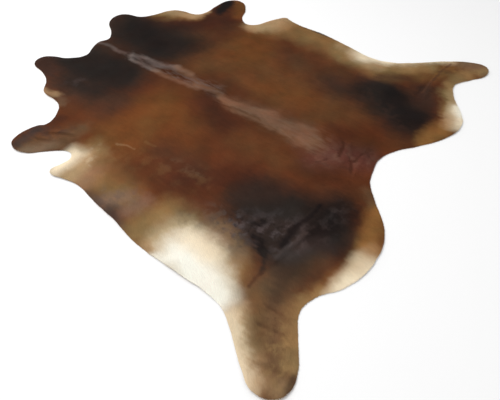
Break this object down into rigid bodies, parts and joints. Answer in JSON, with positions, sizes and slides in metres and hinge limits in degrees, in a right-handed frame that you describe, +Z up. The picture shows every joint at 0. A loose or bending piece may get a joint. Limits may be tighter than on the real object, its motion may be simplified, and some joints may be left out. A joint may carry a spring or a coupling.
{
  "type": "cowhide rug",
  "caption": "Whole hair-on cowhide rug lying open on the floor, with a natural uneven outline of cheeks, forelegs, hind legs and a rounded rump on each side of the tail notch.",
  "frame": {"origin": "on the floor, under the middle of the hide's box", "axes": "+Z up from the floor, +Y along the spine towards the neck, +X across the hide towards the side that lies farther from the picture's camera"},
  "size_m": [2.2332, 2.1958, 0.013],
  "materials": {
    "coat": "short smooth hair lying flat, brown with black-brown shoulders and haunches, cream belly edges and a pale ruffled line along the spine; suede flesh side"
  },
  "bodies": {
    "root": {"hide": "coat"}
  },
  "joints": []
}
